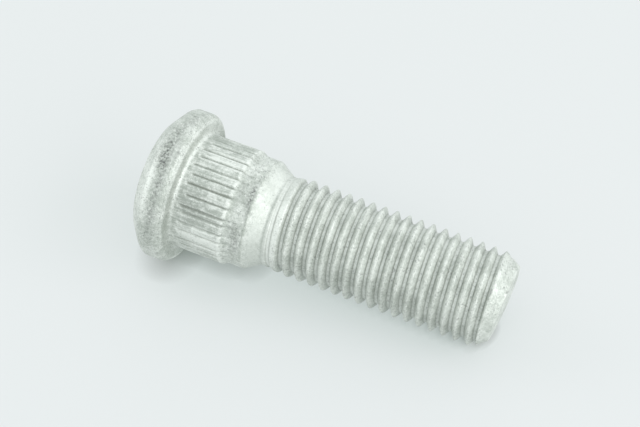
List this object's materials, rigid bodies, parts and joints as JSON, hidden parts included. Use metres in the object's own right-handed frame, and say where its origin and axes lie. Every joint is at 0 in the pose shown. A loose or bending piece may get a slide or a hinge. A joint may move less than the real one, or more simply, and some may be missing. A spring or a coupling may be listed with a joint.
{
  "type": "wheel stud",
  "caption": "Press-in wheel stud with a bevelled round head, straight serrations, a tapered neck and a right-hand metric thread with a conical point.",
  "frame": {"origin": "centre of the head's flat outer face, which the stud stands on", "axes": "+Z along the stud's axis, from the head to the threaded point; +X crosses the middle of one groove between the serrations"},
  "size_m": [0.0186, 0.0186, 0.0441],
  "materials": {
    "zinc_flake_steel": "matte silver zinc-flake coat on steel"
  },
  "bodies": {
    "root": {"wheel_stud": "zinc_flake_steel"}
  },
  "joints": []
}
